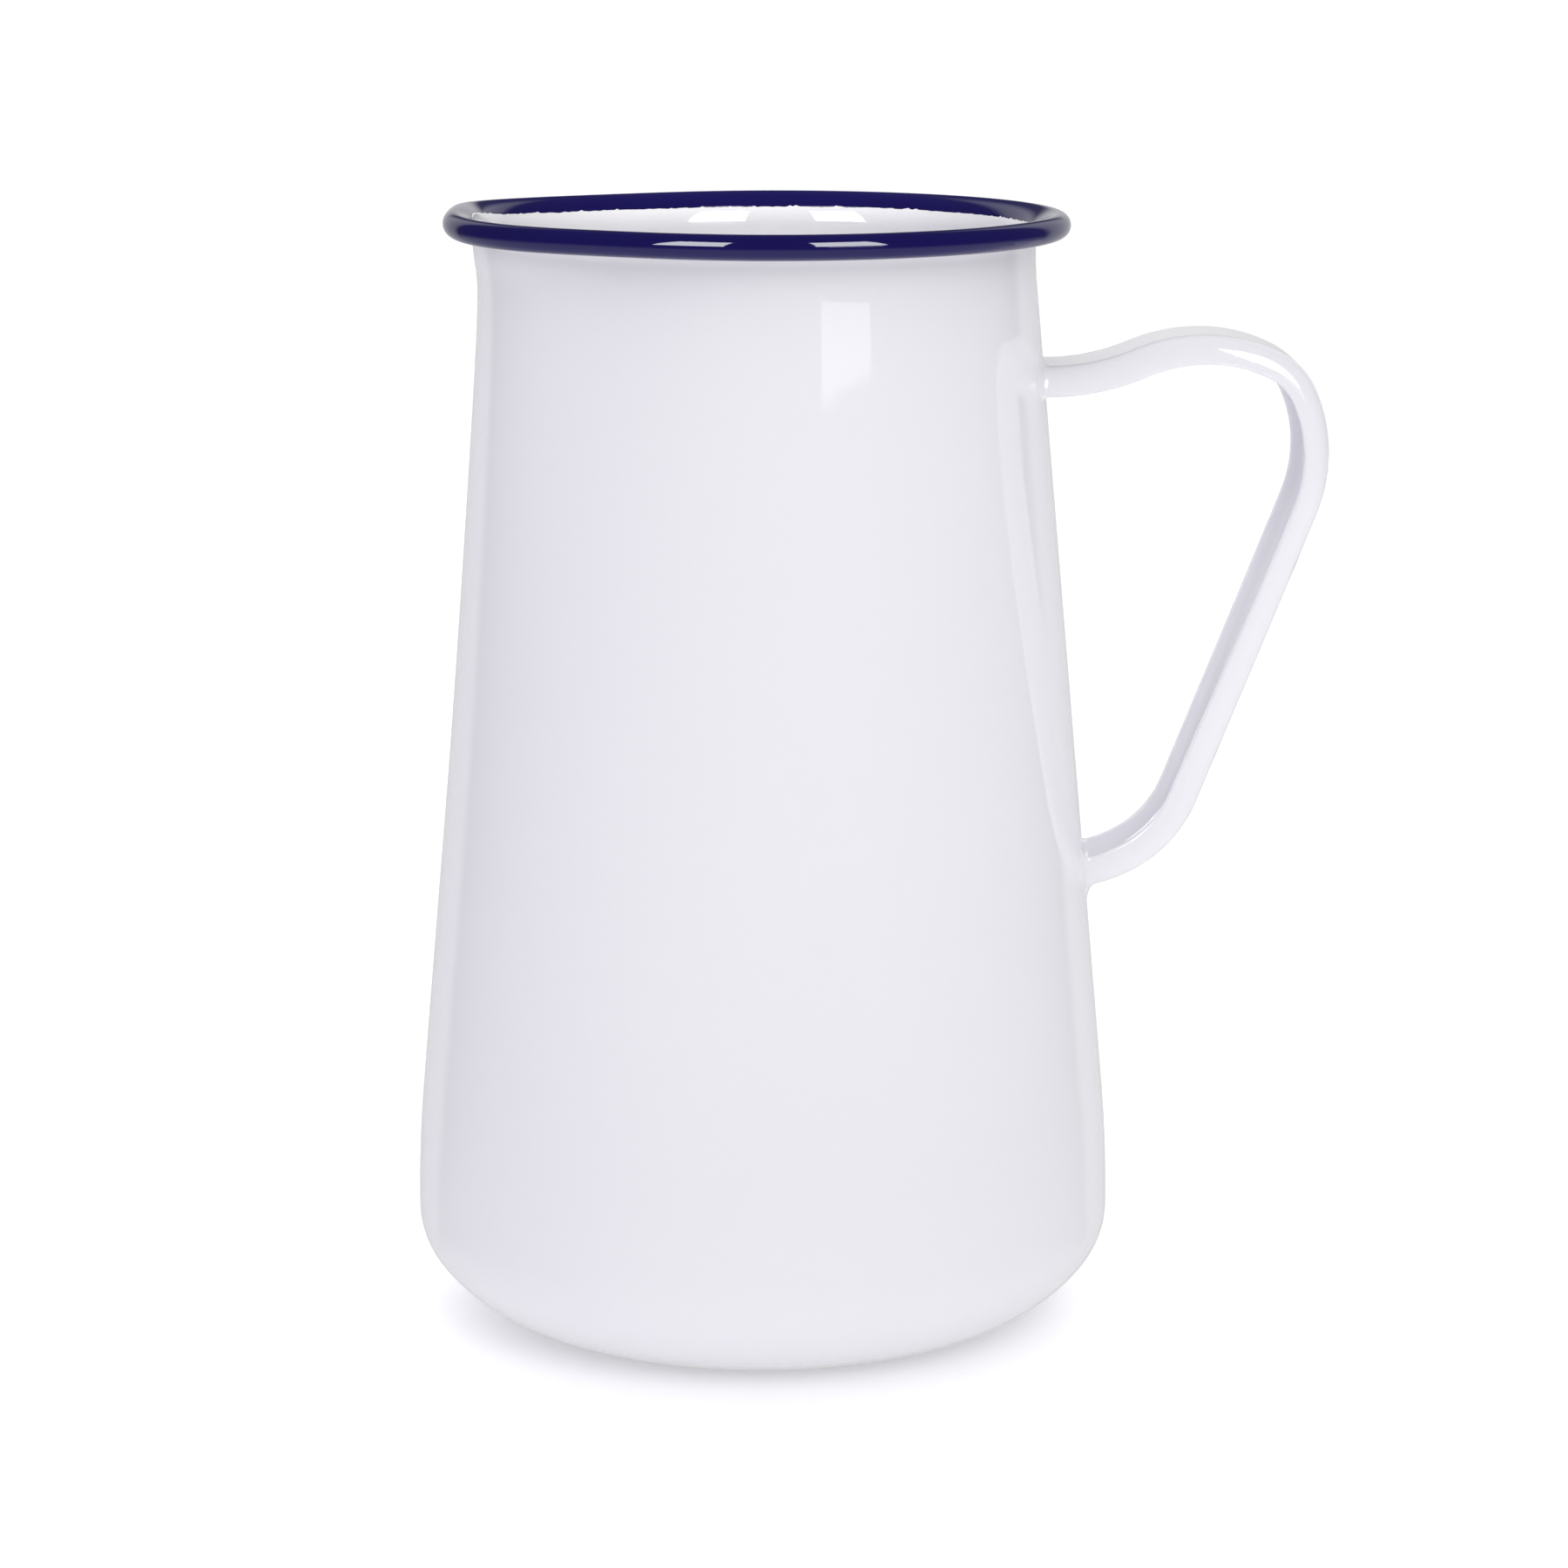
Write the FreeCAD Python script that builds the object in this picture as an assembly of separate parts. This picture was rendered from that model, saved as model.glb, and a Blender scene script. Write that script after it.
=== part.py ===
"""Enamelled steel milk jug: tapered wall on a rounded pan base, pressed pouring lip,
curled rim and a channel-section strap handle.

Millimetres, +Z up. The origin is on the body's axis, in the plane the jug stands on.
The handle is on +X and the lip on -X. The jug is symmetric about the XZ plane.
"""
import FreeCAD
import Part
import os
from math import asin, atan2, cos, exp, hypot, pi, radians, sin, sqrt

Vector = FreeCAD.Vector

# ---------------------------------------------------------------- driving dimensions
HEIGHT = 215.0             # standing plane to the top of the rim, on its round part

SHEET = 0.7                # steel of the wall and pan
COAT = 0.2                 # fired enamel on each face
WALL = SHEET + 2 * COAT    # finished thickness

# base pan, outer finished surface
RECESS_R = 32.0            # raised middle of the underside
RECESS_DEEP = 1.2
RING_INNER_R = 34.5        # standing ring
RING_OUTER_R = 41.0
HEEL_R = 30.0              # broad arc out of the standing ring
CORNER_R = 15.0            # tighter arc round to the widest point
HEEL_TURN = 52.3           # degrees turned by the heel arc
BLEND_R = 262.0            # long arc from the widest point into the cone
TAPER = 5.26               # degrees, half-angle of the cone

# rim, finished section
CURL_R = 2.36              # outer radius of the hollow bead
CURL_CENTRE_R = 56.3       # bead centreline, on the round part
CURL_END = -175.0          # degrees, where the sheet's edge stops under the bead
NECK_FROM_Z = 201.0        # the wall eases out of its cone from here
NECK_OUT = 0.335           # how far, by the height where it stands upright
FLARE_Z = 208.3            # that height, where the flare starts on the round part
FLARE_R = 7.0              # radius that the wall flares out over, on the milk side
SPOUT_FLARE_CUT = 3.1      # how much tighter it is at the lip's middle
RIM_COAT_START = 0.47      # share of the flare where the rim colour starts
RIM_COAT_END = 0.965       # share of the way round the bead where it stops

# pouring lip, angles measured from the lip's middle
LIP_OUT = 3.4              # broad nose of the rim pressed outwards
LIP_HALF_ANGLE = 45.0
LIP_BLUNT = 1.8            # how much the nose is flattened
LIP_BLUNT_ANGLE = 15.0
FLANK_IN = 2.35            # each side of the nose drawn inwards
FLANK_ANGLE = 60.0
FLANK_SPREAD = 25.0
SPOUT_GROOVE = 1.5         # wall pressed up to the bead at the lip's middle
SPOUT_ANGLE = 20.0
LIP_RISE = 0.9             # lift of the rim at the lip
LIP_RISE_ANGLE = 25.0
LIP_FOOT_Z = 105.0         # where the pressing fades out down the wall
LIP_LONG_SHARE = 0.48      # share of the nose's pressing that fades all the way down
LIP_SHORT_FADE = 5.5       # fade length of the rest, just under the rim

# handle strap, finished section
STRAP_WALL = 1.3           # finished thickness of the channel
STRAP_CORNER_R = 4.2
STRAP_TOP_WIDTH = 25.0
STRAP_FOOT_WIDTH = 18.0
STRAP_TOP_DEPTH = 5.6
STRAP_MID_DEPTH = 5.1
STRAP_FOOT_DEPTH = 6.2
STRAP_START = (46.0, 186.4)    # x, z of the back line, inside the wall, heading +X
# runs of the back line: (length, 0) is straight, (radius, turn in degrees) is an arc
STRAP_RUNS = (
    (8.8, 0),
    (40.0, 23),
    (35.5, -23),
    (31.0, -28),
    (14.0, -37),
    (30.5, -46),
    (61.0, 0),
    (26.0, -43),
    (32.0, -14),
    (8.0, 0),
)
STRAP_TAPER_FROM = 5       # run at whose end the strap starts to narrow
STRAP_TAPER_TO = 7         # run at whose end it has its foot width
STATION_TURN = 12.0        # largest turn between two sections, degrees
ROOT_FILLET = 1.8          # enamel gathered round the handle's roots
ROOTS_FROM_Z = 70.0        # both roots lie between these heights
ROOTS_TO_Z = 200.0

# where the wall's closed sections are taken
RING_POINTS = 60           # points round one section
SEAM_TURN = 90.0
COAT_TUCK = 0.75           # share of the flare that the outside coat runs up, behind the bead
WALL_HEIGHTS = (60, 75, 90, LIP_FOOT_Z, 120, 135, 150, 165, 180, 190, 196, 201, 203.5, 206)
FLARE_SHARES = (0, 0.25, RIM_COAT_START, COAT_TUCK)
BEAD_STEPS = 12            # sections round the bead

# ---------------------------------------------------------------- derived places
HEEL_CENTRE = (RING_OUTER_R, HEEL_R)
HEEL_ANGLE = radians(HEEL_TURN - 90)
CORNER_CENTRE = (
    HEEL_CENTRE[0] + (HEEL_R - CORNER_R) * cos(HEEL_ANGLE),
    HEEL_CENTRE[1] + (HEEL_R - CORNER_R) * sin(HEEL_ANGLE),
)
MAX_R = CORNER_CENTRE[0] + CORNER_R
BLEND_CENTRE = (MAX_R - BLEND_R, CORNER_CENTRE[1])
JOINT_Z = BLEND_CENTRE[1] + BLEND_R * sin(radians(TAPER))
JOINT_R = BLEND_CENTRE[0] + BLEND_R * cos(radians(TAPER))
CURL_CENTRE_Z = HEIGHT - CURL_R
PRESS_START = ("wall", LIP_FOOT_Z)
FLARE_START = ("flare", 0)
BEAD_START = ("bead", 0)


# ---------------------------------------------------------------- small helpers
def bump(angle, width, power=2):
    return exp(-((abs(angle) / width) ** power))


def sewn_solid(faces):
    shell = Part.Shell(faces)
    shell.sewShape()
    solid = Part.Solid(Part.Shell(shell.Faces))
    if solid.Volume < 0:
        solid.reverse()
    return solid


def revolved(edges):
    """A solid from a closed outline in the XZ plane turned round the Z axis."""
    face = Part.Face(Part.Wire(edges))
    return face.revolve(Vector(0, 0, 0), Vector(0, 0, 1), 360)


def line(a, b):
    return Part.makeLine(Vector(a[0], 0, a[1]), Vector(b[0], 0, b[1]))


def on_circle(centre, radius, angle):
    return (centre[0] + radius * cos(angle), centre[1] + radius * sin(angle))


def arc(centre, radius, start, end):
    points = [on_circle(centre, radius, a) for a in (start, (start + end) / 2, end)]
    return Part.Arc(*[Vector(x, 0, z) for x, z in points]).toShape()


# ---------------------------------------------------------------- the wall's shape
def cone_r(z):
    """Radius of the plain cone's outer finished surface."""
    return JOINT_R - (z - JOINT_Z) * sin(radians(TAPER)) / cos(radians(TAPER))


def nose_push(angle):
    nose = LIP_OUT * bump(angle, LIP_HALF_ANGLE, 4)
    return nose - LIP_BLUNT * bump(angle, LIP_BLUNT_ANGLE)


def flank_push(angle):
    return FLANK_IN * bump(abs(angle) - FLANK_ANGLE, FLANK_SPREAD)


def rim_push(angle):
    """How far the bead is pressed out (+) or drawn in (-) from round."""
    return nose_push(angle) - flank_push(angle)


def wall_push(z, angle):
    """The same for the wall at height z, which comes closer to the bead at the spout.

    The flanks fade all the way down the wall; part of the nose fades just under the rim.
    """
    if z <= LIP_FOOT_Z:
        return 0.0
    long_fade = ((z - LIP_FOOT_Z) / (FLARE_Z - LIP_FOOT_Z)) ** 1.5
    short_fade = exp((z - FLARE_Z) / LIP_SHORT_FADE)
    pressed = LIP_LONG_SHARE * long_fade + (1 - LIP_LONG_SHARE) * short_fade
    nose = nose_push(angle) + SPOUT_GROOVE * bump(angle, SPOUT_ANGLE)
    return nose * pressed - flank_push(angle) * long_fade


def lip_rise(angle):
    return LIP_RISE * bump(angle, LIP_RISE_ANGLE)


def wall_r(z, angle):
    """Radius of the wall's outer finished surface, up to the flare."""
    share = (z - NECK_FROM_Z) / (FLARE_Z - NECK_FROM_Z)
    neck = NECK_OUT * max(share, 0.0) ** 2
    return cone_r(z) + neck + wall_push(z, angle)


def bead_centre(angle):
    return CURL_CENTRE_R + rim_push(angle), CURL_CENTRE_Z + lip_rise(angle)


def flare(angle):
    """The arc that leads the wall into the bead: its centre, radius and turn."""
    radius = FLARE_R - SPOUT_FLARE_CUT * bump(angle, SPOUT_ANGLE)
    bead_r, bead_z = bead_centre(angle)
    centre_r = wall_r(FLARE_Z, angle) - WALL / cos(radians(TAPER)) + radius
    beyond = centre_r - bead_r
    drop = sqrt((radius - CURL_R) ** 2 - beyond**2)
    return (centre_r, bead_z - drop), radius, atan2(drop, beyond)


# A station is one place along the sheet's section: ("wall", z), ("flare", share of the
# flare) or ("bead", share of the way round the bead). Depth is measured into the section
# from the milk side, which is also the outside of the bead.
def section_point(station, angle, depth):
    kind, value = station
    if kind == "wall":
        return wall_r(value, angle) - (WALL - depth) / cos(radians(TAPER)), value
    centre, radius, turn = flare(angle)
    if kind == "flare":
        return on_circle(centre, radius - depth, pi - turn * value)
    at = (pi - turn) * (1 - value) + radians(CURL_END) * value
    return on_circle(bead_centre(angle), CURL_R - depth, at)


def ring(station, depth):
    """The closed curve that one station and depth trace round the jug.

    It starts at SEAM_TURN from +X, so that its seam stays clear of the handle and lip.
    """
    points = []
    for i in range(RING_POINTS):
        turn = SEAM_TURN + 360 * i / RING_POINTS
        from_lip = -turn % 360 - 180
        r, z = section_point(station, from_lip, depth)
        points.append(Vector(r * cos(radians(turn)), r * sin(radians(turn)), z))
    curve = Part.BSplineCurve()
    steps = [i / RING_POINTS for i in range(RING_POINTS + 1)]
    curve.interpolate(Points=points, PeriodicFlag=True, Parameters=steps)
    return Part.Wire(curve.toShape())


def stations(first, last):
    """Stations along the section from first to last, both given as stations."""
    order = [("wall", z) for z in WALL_HEIGHTS]
    order += [("flare", share) for share in FLARE_SHARES]
    order += [("bead", i / BEAD_STEPS) for i in range(BEAD_STEPS + 1)]

    def place(station):
        kind, value = station
        return ("wall", "flare", "bead").index(kind), value

    inner = [s for s in order if place(first) < place(s) < place(last)]
    return [first] + inner + [last]


def skin(first, last, depth_a, depth_b):
    """A closed layer between two depths, from one station to another.

    The plain cone, the pressed wall, the flare and the bead are lofted apart, each
    starting from the ring the one before ends on.
    """
    places = stations(first, last)
    sides = [[ring(place, depth) for place in places] for depth in (depth_a, depth_b)]
    splits = (PRESS_START, FLARE_START, BEAD_START)
    joints = [places.index(split) for split in splits if split in places]
    starts = [0] + joints
    ends = joints + [len(places) - 1]
    faces = []
    for side in sides:
        for start, end in zip(starts, ends):
            faces += Part.makeLoft(side[start : end + 1], False, False).Faces
    for end in (0, -1):
        faces += Part.makeRuledSurface(sides[0][end], sides[1][end]).Faces
    return sewn_solid(faces)


# ---------------------------------------------------------------- body pieces
def make_wall():
    """Tapered sheet with its lip and hollow curled rim."""
    return skin(("wall", JOINT_Z), ("bead", 1), COAT, COAT + SHEET)


def make_wall_outer_enamel(strap):
    """White coat outside, up into the throat behind the bead."""
    coat = skin(("wall", JOINT_Z), ("flare", COAT_TUCK), COAT + SHEET, WALL)
    return coat.cut(strap)


def make_wall_inner_enamel():
    """White coat inside, up to the edge of the rim colour."""
    return skin(("wall", JOINT_Z), ("flare", RIM_COAT_START), 0, COAT)


def make_rim_enamel():
    """Coloured coat over the flare's top and round the bead."""
    return skin(("flare", RIM_COAT_START), ("bead", RIM_COAT_END), 0, COAT)


def pan_line(depth):
    """Outline of the pan at a depth in from its outer finished surface, and its ends."""
    corner_end = HEEL_ANGLE
    top_angle = asin((JOINT_Z - BLEND_CENTRE[1]) / (BLEND_R - depth))
    top = on_circle(BLEND_CENTRE, BLEND_R - depth, top_angle)
    edges = [
        line((0, RECESS_DEEP + depth), (RECESS_R, RECESS_DEEP + depth)),
        line((RECESS_R, RECESS_DEEP + depth), (RING_INNER_R, depth)),
        line((RING_INNER_R, depth), (RING_OUTER_R, depth)),
        arc(HEEL_CENTRE, HEEL_R - depth, -pi / 2, corner_end),
        arc(CORNER_CENTRE, CORNER_R - depth, corner_end, 0),
        arc(BLEND_CENTRE, BLEND_R - depth, 0, top_angle),
    ]
    return edges, (0, RECESS_DEEP + depth), top


def pan_layer(depth_a, depth_b):
    low, low_start, low_top = pan_line(depth_a)
    high, high_start, high_top = pan_line(depth_b)
    outline = low + [line(low_top, high_top)] + high[::-1] + [line(high_start, low_start)]
    return revolved(outline)


# ---------------------------------------------------------------- handle
def strap_stations():
    """(x, z, heading, width, depth) along the strap's back line."""
    x, z = STRAP_START
    heading = 0.0
    walked = 0.0
    places = [(x, z, heading, walked)]
    run_ends = []
    for size, turn in STRAP_RUNS:
        steps = max(2, round(abs(turn) / STATION_TURN + 0.5)) if turn else 2
        length = size * abs(radians(turn)) if turn else size
        bend = radians(turn) / steps
        chord = 2 * size * sin(abs(bend) / 2) if turn else size / steps
        for _ in range(steps):
            x += chord * cos(heading + bend / 2)
            z += chord * sin(heading + bend / 2)
            heading += bend
            walked += length / steps
            places.append((x, z, heading, walked))
        run_ends.append(walked)
    narrow_from = run_ends[STRAP_TAPER_FROM]
    narrow_to = run_ends[STRAP_TAPER_TO]

    def sized(place):
        px, pz, angle, at = place
        share = min(max((at - narrow_from) / (narrow_to - narrow_from), 0.0), 1.0)
        ease = share * share * (3 - 2 * share)
        width = STRAP_TOP_WIDTH + (STRAP_FOOT_WIDTH - STRAP_TOP_WIDTH) * ease
        before = min(at / narrow_from, 1.0)
        depth = STRAP_TOP_DEPTH + (STRAP_MID_DEPTH - STRAP_TOP_DEPTH) * before
        depth += (STRAP_FOOT_DEPTH - STRAP_MID_DEPTH) * ease
        return px, pz, angle, width, depth

    return [sized(place) for place in places]


def channel_wire(place, inset):
    """The strap's section, set in by inset from its finished surface."""
    x, z, heading, width, depth = place
    half = width / 2 - inset
    half_in = width / 2 - STRAP_WALL + inset
    back = inset
    back_in = STRAP_WALL - inset
    tip = depth - inset
    big = STRAP_CORNER_R - inset
    small = STRAP_CORNER_R - STRAP_WALL + inset
    tip_round = (half - half_in) / 2

    def point(y, s):
        return Vector(x + s * sin(heading), y, z - s * cos(heading))

    def side(sign):
        """Corner points and mid-arc points of one half, from its tip to the middle."""
        turn = 1 - sin(pi / 4)
        return {
            "tip_out": point(sign * half, tip - tip_round),
            "tip_top": point(sign * (half + half_in) / 2, tip),
            "tip_in": point(sign * half_in, tip - tip_round),
            "out_1": point(sign * half, back + big),
            "out_m": point(sign * (half - turn * big), back + turn * big),
            "out_2": point(sign * (half - big), back),
            "in_1": point(sign * half_in, back_in + small),
            "in_m": point(sign * (half_in - turn * small), back_in + turn * small),
            "in_2": point(sign * (half_in - small), back_in),
        }

    a, b = side(-1), side(1)
    edges = [
        Part.Arc(a["tip_in"], a["tip_top"], a["tip_out"]).toShape(),
        Part.makeLine(a["tip_out"], a["out_1"]),
        Part.Arc(a["out_1"], a["out_m"], a["out_2"]).toShape(),
        Part.makeLine(a["out_2"], b["out_2"]),
        Part.Arc(b["out_2"], b["out_m"], b["out_1"]).toShape(),
        Part.makeLine(b["out_1"], b["tip_out"]),
        Part.Arc(b["tip_out"], b["tip_top"], b["tip_in"]).toShape(),
        Part.makeLine(b["tip_in"], b["in_1"]),
        Part.Arc(b["in_1"], b["in_m"], b["in_2"]).toShape(),
        Part.makeLine(b["in_2"], a["in_2"]),
        Part.Arc(a["in_2"], a["in_m"], a["in_1"]).toShape(),
        Part.makeLine(a["in_1"], a["tip_in"]),
    ]
    return Part.Wire(edges)


def cone_solid(depth):
    """The plain cone behind the handle, filled in, at a depth in from its finish."""
    low, high = JOINT_Z, FLARE_Z
    inset = depth / cos(radians(TAPER))
    return Part.makeCone(
        cone_r(low) - inset, cone_r(high) - inset, high - low, Vector(0, 0, low)
    )


def channel(inset):
    wires = [channel_wire(place, inset) for place in strap_stations()]
    return Part.makeLoft(wires, True, False)


def make_handle_strap():
    """Steel channel, its ends cut to sit on the wall's steel."""
    return channel(COAT).cut(cone_solid(COAT))


def make_handle_enamel(strap):
    """White coat all round the strap, gathered into a fillet at both roots."""
    body = cone_solid(0)
    joined = body.fuse(channel(0))
    roots = []
    for edge in joined.Edges:
        middle = edge.valueAt((edge.FirstParameter + edge.LastParameter) / 2)
        on_cone = abs(hypot(middle.x, middle.y) - cone_r(middle.z)) < 0.01
        if on_cone and middle.x > 0 and abs(middle.y) < STRAP_TOP_WIDTH:
            if ROOTS_FROM_Z < middle.z < ROOTS_TO_Z:
                roots.append(edge)
    filleted = joined.makeFillet(ROOT_FILLET, roots)
    return filleted.cut(body).cut(strap)


def main():
    os.makedirs("parts", exist_ok=True)
    strap = make_handle_strap()
    parts = {
        "wall": make_wall(),
        "base_pan": pan_layer(COAT, COAT + SHEET),
        "handle_strap": strap,
        "wall_outer_enamel": make_wall_outer_enamel(strap),
        "wall_inner_enamel": make_wall_inner_enamel(),
        "pan_outer_enamel": pan_layer(0, COAT),
        "pan_inner_enamel": pan_layer(COAT + SHEET, WALL),
        "handle_enamel": make_handle_enamel(strap),
        "rim_enamel": make_rim_enamel(),
    }
    for name, shape in parts.items():
        shape.exportStep(f"parts/{name}.step")
        box = shape.BoundBox
        print(
            name,
            "valid" if shape.isValid() else "NOT VALID",
            len(shape.Solids),
            "solids",
            round(shape.Volume, 1),
            "mm3",
            [round(v, 2) for v in (box.XMin, box.XMax, box.YMin, box.YMax, box.ZMin, box.ZMax)],
        )


main()
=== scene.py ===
"""Looks of the enamelled milk jug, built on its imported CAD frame. Metres, +Z up.

The handle is on +X and the pouring lip on -X. Every visible surface is a fired enamel
coat, rebuilt here as a dense closed layer over the steel, which stays as packed. Shapes
are worked out in millimetres and turned into metres as each mesh is made.
"""
import math

import bpy
import numpy as np
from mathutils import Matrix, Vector


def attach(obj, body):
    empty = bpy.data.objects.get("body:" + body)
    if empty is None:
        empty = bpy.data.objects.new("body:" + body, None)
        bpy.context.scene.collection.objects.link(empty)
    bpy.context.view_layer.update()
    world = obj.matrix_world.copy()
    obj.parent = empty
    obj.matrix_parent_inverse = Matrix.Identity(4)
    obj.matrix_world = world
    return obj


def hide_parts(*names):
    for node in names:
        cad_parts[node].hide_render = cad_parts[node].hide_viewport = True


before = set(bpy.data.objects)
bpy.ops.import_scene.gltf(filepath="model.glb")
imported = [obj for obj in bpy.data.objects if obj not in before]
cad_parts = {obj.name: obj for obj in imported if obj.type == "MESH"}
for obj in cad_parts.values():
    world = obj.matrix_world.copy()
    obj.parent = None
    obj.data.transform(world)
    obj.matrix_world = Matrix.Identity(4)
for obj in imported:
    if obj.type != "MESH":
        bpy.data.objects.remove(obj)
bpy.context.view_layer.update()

MM = 0.001

# ---------------------------------------------------------------- sizes, millimetres
HEIGHT = 215.0
WALL = 1.1
SHEET = 0.7
COAT = 0.2

# base pan
RECESS_FLAT_R = 28.0       # the raised middle is flat out to here
RECESS_R = 32.0
RECESS_DEEP = 1.2
RING_INNER_R = 34.5
RING_OUTER_R = 41.0
HEEL_R = 30.0
CORNER_R = 15.0
HEEL_TURN = 52.3
BLEND_R = 262.0
TAPER = math.radians(5.26)
RECESS_ROUND = 1.2         # enamel softens the pressed edges under the pan

# rim
CURL_R = 2.36
CURL_CENTRE_R = 56.3
CURL_END = -175.0
NECK_FROM_Z = 201.0
NECK_OUT = 0.335
FLARE_Z = 208.3
WALL_TOP_Z = 206.0         # last round of the wall before the flare takes over
FLARE_R = 7.0
SPOUT_FLARE_CUT = 3.1
COAT_TUCK = 0.75           # share of the flare that the outside coat runs up
RIM_START = 0.47           # share of the flare
RIM_END = 0.965            # share of the way round the bead
RIM_LAP = 0.05             # share of the flare that white runs on under the rim colour
FLARE_LENGTH = 8.4         # of the flare's arc and the bead's, on the round part
BEAD_LENGTH = 11.8
INNER_EDGE = (0.015, 0.004)        # shares over which the white's own edge rounds off
RIM_PROUD = 0.045          # how far the rim colour stands on the white at its edge

# pouring lip, degrees from the lip's middle
LIP_OUT = 3.4
LIP_HALF_ANGLE = 45.0
LIP_BLUNT = 1.8
LIP_BLUNT_ANGLE = 15.0
FLANK_IN = 2.35
FLANK_ANGLE = 60.0
FLANK_SPREAD = 25.0
SPOUT_GROOVE = 1.5
SPOUT_ANGLE = 20.0
LIP_RISE = 0.9
LIP_RISE_ANGLE = 25.0
LIP_FOOT_Z = 105.0
LIP_LONG_SHARE = 0.48
LIP_SHORT_FADE = 5.5

# handle strap
STRAP_WALL = 1.3
STRAP_CORNER_R = 4.2
STRAP_WIDTHS = (25.0, 18.0)        # top, foot
STRAP_DEPTHS = (5.6, 5.1, 6.2)     # top, middle, foot
STRAP_START = (46.0, 186.4)
STRAP_RUNS = (
    (8.8, 0),
    (40.0, 23),
    (35.5, -23),
    (31.0, -28),
    (14.0, -37),
    (30.5, -46),
    (61.0, 0),
    (26.0, -43),
    (32.0, -14),
    (8.0, 0),
)
STRAP_TAPER_RUNS = (5, 7)
STRAP_EASE = 5.0           # length over which one bend runs into the next

HEEL_CENTRE = (RING_OUTER_R, HEEL_R)
HEEL_ANGLE = math.radians(HEEL_TURN - 90)
CORNER_CENTRE = (
    HEEL_CENTRE[0] + (HEEL_R - CORNER_R) * math.cos(HEEL_ANGLE),
    HEEL_CENTRE[1] + (HEEL_R - CORNER_R) * math.sin(HEEL_ANGLE),
)
BLEND_CENTRE = (CORNER_CENTRE[0] + CORNER_R - BLEND_R, CORNER_CENTRE[1])
JOINT_Z = BLEND_CENTRE[1] + BLEND_R * math.sin(TAPER)
JOINT_R = BLEND_CENTRE[0] + BLEND_R * math.cos(TAPER)
CURL_CENTRE_Z = HEIGHT - CURL_R

SHY = 0.9997               # shrinks the outside a hair, to lie inside the CAD mesh
HANDLE_SHY = -0.01         # the same as growth of the handle's section
BEAD_SHY = 0.004           # and as depth into the bead
ROUND_STEPS = 480          # mesh columns round the body
RIM_STEPS = 2000           # and round the rim colour, fine enough for its ragged edge
WALL_ROUNDS = 56           # mesh rounds up the wall
WALL_CROWDING = 0.62       # below 1 they stand closer together towards the rim
AXIS_R = 1e-6              # a ring narrower than this is a point on the axis


# ---------------------------------------------------------------- the body's section
def bump(angle, width, power=2):
    return np.exp(-((np.abs(angle) / width) ** power))


def cone_r(z):
    return JOINT_R - (z - JOINT_Z) * math.tan(TAPER)


def nose_push(angle):
    nose = LIP_OUT * bump(angle, LIP_HALF_ANGLE, 4)
    return nose - LIP_BLUNT * bump(angle, LIP_BLUNT_ANGLE)


def flank_push(angle):
    return FLANK_IN * bump(np.abs(angle) - FLANK_ANGLE, FLANK_SPREAD)


def rim_push(angle):
    """How far the bead is pressed out or drawn in from round, degrees from the lip."""
    return nose_push(angle) - flank_push(angle)


def wall_push(z, angle):
    """The same for the wall at height z, which comes closer to the bead at the spout."""
    if z <= LIP_FOOT_Z:
        return np.zeros_like(angle)
    long_fade = ((z - LIP_FOOT_Z) / (FLARE_Z - LIP_FOOT_Z)) ** 1.5
    short_fade = math.exp((z - FLARE_Z) / LIP_SHORT_FADE)
    pressed = LIP_LONG_SHARE * long_fade + (1 - LIP_LONG_SHARE) * short_fade
    nose = nose_push(angle) + SPOUT_GROOVE * bump(angle, SPOUT_ANGLE)
    return nose * pressed - flank_push(angle) * long_fade


def lip_rise(angle):
    return LIP_RISE * bump(angle, LIP_RISE_ANGLE)


def wall_r(z, angle):
    """Radius of the wall's outer finished surface, up to the flare."""
    share = (z - NECK_FROM_Z) / (FLARE_Z - NECK_FROM_Z)
    return cone_r(z) + NECK_OUT * max(share, 0.0) ** 2 + wall_push(z, angle)


def on_wall(z, angle, depth):
    return wall_r(z, angle) - (WALL - depth) / math.cos(TAPER), np.full_like(angle, z)


def bead_centre(angle):
    return CURL_CENTRE_R + rim_push(angle), CURL_CENTRE_Z + lip_rise(angle)


def flare(angle):
    """The arc from wall to bead, on the milk side: centre r, centre z, radius, turn."""
    radius = FLARE_R - SPOUT_FLARE_CUT * bump(angle, SPOUT_ANGLE)
    bead_r, bead_z = bead_centre(angle)
    centre_r = wall_r(FLARE_Z, angle) - WALL / math.cos(TAPER) + radius
    beyond = centre_r - bead_r
    drop = np.sqrt((radius - CURL_R) ** 2 - beyond**2)
    return centre_r, bead_z - drop, radius, np.arctan2(drop, beyond)


def on_flare(share, angle, depth):
    """A point on the flare; depth is from the milk side, as on the bead."""
    centre_r, centre_z, radius, turn = flare(angle)
    a = math.pi - turn * share
    return centre_r + (radius - depth) * np.cos(a), centre_z + (radius - depth) * np.sin(a)


def on_bead(share, angle, depth):
    centre_r, centre_z = bead_centre(angle)
    start = math.pi - flare(angle)[3]
    a = start * (1 - share) + math.radians(CURL_END) * share
    return centre_r + (CURL_R - depth) * np.cos(a), centre_z + (CURL_R - depth) * np.sin(a)


def arc_points(centre, radius, start, end, count):
    return [
        (centre[0] + radius * math.cos(a), centre[1] + radius * math.sin(a))
        for a in np.linspace(start, end, count)
    ]


SOFTEN_MOST = 0.45         # share of a side that a softened corner may take


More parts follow.
